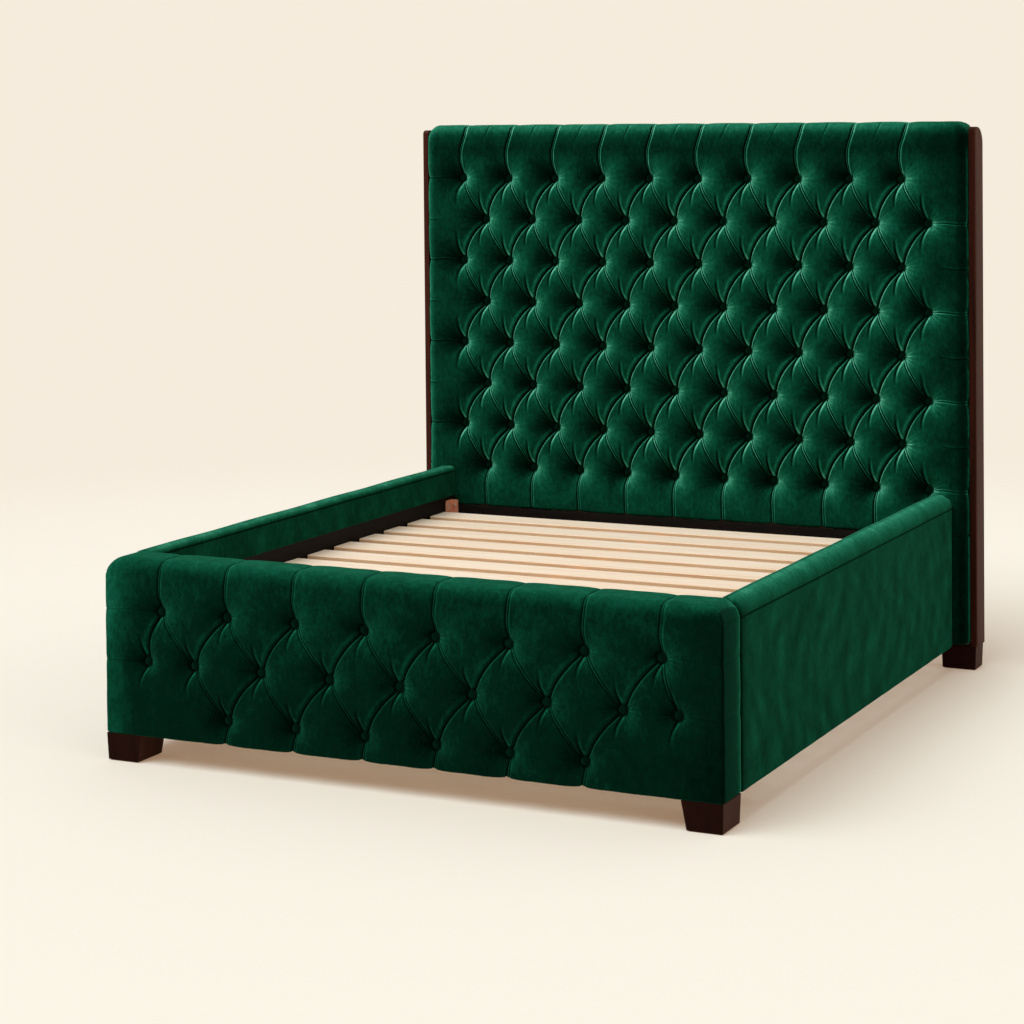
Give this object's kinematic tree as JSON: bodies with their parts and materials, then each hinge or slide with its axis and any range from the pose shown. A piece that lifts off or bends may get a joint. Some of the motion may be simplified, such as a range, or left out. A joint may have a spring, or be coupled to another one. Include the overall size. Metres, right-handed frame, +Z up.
{
  "type": "upholstered bed",
  "caption": "Upholstered double bed frame with a tall deep-buttoned headboard between wood posts, padded side rails, a buttoned footboard and a slatted base.",
  "frame": {"origin": "on the floor, in the middle of the bed's footprint", "axes": "+X to the right seen from the foot end, +Y towards the headboard, +Z up"},
  "size_m": [2.1, 2.278, 1.86],
  "materials": {
    "velvet": "deep green velvet with a soft pile",
    "dark_wood": "satin stained walnut",
    "slat_wood": "plain sanded softwood",
    "black_board": "dark stained board",
    "frame_timber": "plain sawn timber and plywood",
    "bracket_steel": "copper coloured coating",
    "zinc_steel": "zinc plated",
    "lining": "black woven dust lining on hardboard",
    "felt": "pressed felt"
  },
  "bodies": {
    "root": {"beam_hanger_foot": "zinc_steel", "beam_hanger_head": "zinc_steel", "bracket_screws": "zinc_steel", "centre_beam": "frame_timber", "centre_leg_1": "frame_timber", "centre_leg_2": "frame_timber", "centre_leg_3": "frame_timber", "corner_bracket_foot_left": "bracket_steel", "corner_bracket_foot_right": "bracket_steel", "corner_bracket_head_left": "bracket_steel", "corner_bracket_head_right": "bracket_steel", "felt_pads": "felt", "foot_bolts": "zinc_steel", "footboard_block_left": "frame_timber", "footboard_block_right": "frame_timber", "footboard_bottom_batten": "frame_timber", "footboard_buttons": "velvet", "footboard_front_panel": "frame_timber", "footboard_inner_board": "black_board", "footboard_pad": "velvet", "footboard_top_batten": "frame_timber", "head_cross_board": "black_board", "headboard_back_cover": "lining", "headboard_bolts": "zinc_steel", "headboard_bottom_batten": "frame_timber", "headboard_buttons": "velvet", "headboard_centre_stiles": "frame_timber", "headboard_middle_batten": "frame_timber", "headboard_packing_blocks": "frame_timber", "headboard_pad": "velvet", "headboard_panel": "frame_timber", "headboard_stile_left": "frame_timber", "headboard_stile_right": "frame_timber", "headboard_top_batten": "frame_timber", "ledger_screws": "zinc_steel", "left_front_foot": "dark_wood", "left_head_foot": "dark_wood", "left_headboard_leg_pad": "velvet", "left_ledger": "black_board", "left_post": "dark_wood", "left_rail_board": "black_board", "left_rail_pad": "velvet", "right_front_foot": "dark_wood", "right_head_foot": "dark_wood", "right_headboard_leg_pad": "velvet", "right_ledger": "black_board", "right_post": "dark_wood", "right_rail_board": "black_board", "right_rail_pad": "velvet", "slat_01": "slat_wood", "slat_02": "slat_wood", "slat_03": "slat_wood", "slat_04": "slat_wood", "slat_05": "slat_wood", "slat_06": "slat_wood", "slat_07": "slat_wood", "slat_08": "slat_wood", "slat_09": "slat_wood", "slat_10": "slat_wood", "slat_11": "slat_wood"}
  },
  "joints": []
}
